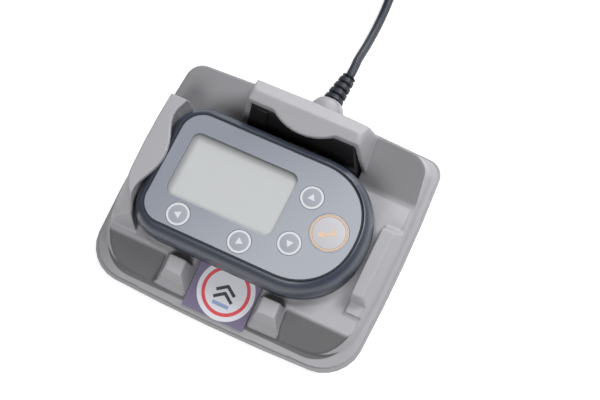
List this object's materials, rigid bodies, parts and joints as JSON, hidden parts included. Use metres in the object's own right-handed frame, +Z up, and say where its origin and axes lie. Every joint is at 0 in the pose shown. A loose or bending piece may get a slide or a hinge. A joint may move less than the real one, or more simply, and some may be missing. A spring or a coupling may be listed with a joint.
{
  "type": "ambulatory heart recorder in its docking cradle",
  "caption": "Body-worn heart recorder with a display and round keys, seated in a flared desktop docking cradle with a hood, a hooked wing and a trailing lead",
  "frame": {"origin": "on the table under the middle of the cradle's foot", "axes": "+Z up from the table, +X along the recorder to its round end, +Y to the hood and the lead"},
  "size_m": [0.1265, 0.2201, 0.035],
  "materials": {
    "case_blue": "satin slate-blue moulded plastic",
    "overlay_grey": "printed satin membrane",
    "key_grey": "satin with printed rings",
    "dark_rubber": "matt",
    "display_lens": "clear",
    "display_panel": "reflective display",
    "circuit_board": "green solder mask",
    "chip_black": "matt black",
    "bright_steel": "plated",
    "gold_contact": "gold plated",
    "cell_jacket": "foil jacket",
    "cradle_grey": "fine satin texture, light grey",
    "base_grey": "fine satin texture",
    "label_grey": "printed label, purple-grey",
    "cord_black": "soft satin"
  },
  "bodies": {
    "cradle": {"dock_shell": "cradle_grey", "base_plate": "base_grey", "rubber_foot_1": "dark_rubber", "rubber_foot_2": "dark_rubber", "rubber_foot_3": "dark_rubber", "rubber_foot_4": "dark_rubber", "base_screw_1": "bright_steel", "base_screw_2": "bright_steel", "base_screw_3": "bright_steel", "base_screw_4": "bright_steel", "contact_block": "chip_black", "dock_board": "circuit_board", "dock_chip": "chip_black", "lead_header": "chip_black", "label_plate": "label_grey", "strain_relief": "cord_black", "cord_stretch": "cord_black", "cord_coil": "cord_black", "cord_tail": "cord_black", "coil_tie": "dark_rubber", "plug_body": "cord_black", "plug_shell": "bright_steel", "plug_tongue": "chip_black"},
    "recorder": {"recorder_front_case": "case_blue", "recorder_back_case": "case_blue", "face_overlay": "overlay_grey", "face_gasket": "dark_rubber", "display_lens": "display_lens", "display_panel": "display_panel", "dome_left": "bright_steel", "dome_middle": "bright_steel", "dome_right": "bright_steel", "dome_upper": "bright_steel", "dome_enter": "bright_steel", "main_board": "circuit_board", "processor_chip": "chip_black", "battery_cell": "cell_jacket", "battery_spring": "bright_steel", "battery_plate": "bright_steel", "case_screw_1": "bright_steel", "case_screw_2": "bright_steel", "case_screw_3": "bright_steel", "case_screw_4": "bright_steel", "lead_socket": "chip_black", "socket_blade": "gold_contact", "contact_pad_1": "gold_contact", "contact_pad_2": "gold_contact", "contact_pad_3": "gold_contact", "contact_pad_4": "gold_contact"},
    "left_key": {"key_left": "key_grey"},
    "middle_key": {"key_middle": "key_grey"},
    "right_key": {"key_right": "key_grey"},
    "upper_key": {"key_upper": "key_grey"},
    "enter_key": {"key_enter": "key_grey"},
    "door": {"battery_door": "case_blue"},
    "pin_1": {"contact_pin_1": "gold_contact"},
    "pin_2": {"contact_pin_2": "gold_contact"},
    "pin_3": {"contact_pin_3": "gold_contact"},
    "pin_4": {"contact_pin_4": "gold_contact"}
  },
  "joints": [
    {"name": "recorder_tilt", "type": "hinge", "parent": "cradle", "child": "recorder", "pos_m": [-0.0398, -0.00302, 0.0302], "axis": [0, -1, 0], "range_deg": [0, 60]},
    {"name": "left_key_press", "type": "slide", "parent": "recorder", "child": "left_key", "axis": [0, 0, -1], "range_m": [0, 0.0004], "stiffness_N_per_m": 1000},
    {"name": "middle_key_press", "type": "slide", "parent": "recorder", "child": "middle_key", "axis": [0, 0, -1], "range_m": [0, 0.0004], "stiffness_N_per_m": 1000},
    {"name": "right_key_press", "type": "slide", "parent": "recorder", "child": "right_key", "axis": [0, 0, -1], "range_m": [0, 0.0004], "stiffness_N_per_m": 1000},
    {"name": "upper_key_press", "type": "slide", "parent": "recorder", "child": "upper_key", "axis": [0, 0, -1], "range_m": [0, 0.0004], "stiffness_N_per_m": 1000},
    {"name": "enter_key_press", "type": "slide", "parent": "recorder", "child": "enter_key", "axis": [0, 0, -1], "range_m": [0, 0.0004], "stiffness_N_per_m": 1000},
    {"name": "door_slide", "type": "slide", "parent": "recorder", "child": "door", "axis": [0, -1, 0], "range_m": [0, 0.049]},
    {"name": "pin_1_press", "type": "slide", "parent": "cradle", "child": "pin_1", "axis": [0, 1, 0], "range_m": [0, 0.0008], "stiffness_N_per_m": 600},
    {"name": "pin_2_press", "type": "slide", "parent": "cradle", "child": "pin_2", "axis": [0, 1, 0], "range_m": [0, 0.0008], "stiffness_N_per_m": 600},
    {"name": "pin_3_press", "type": "slide", "parent": "cradle", "child": "pin_3", "axis": [0, 1, 0], "range_m": [0, 0.0008], "stiffness_N_per_m": 600},
    {"name": "pin_4_press", "type": "slide", "parent": "cradle", "child": "pin_4", "axis": [0, 1, 0], "range_m": [0, 0.0008], "stiffness_N_per_m": 600}
  ]
}
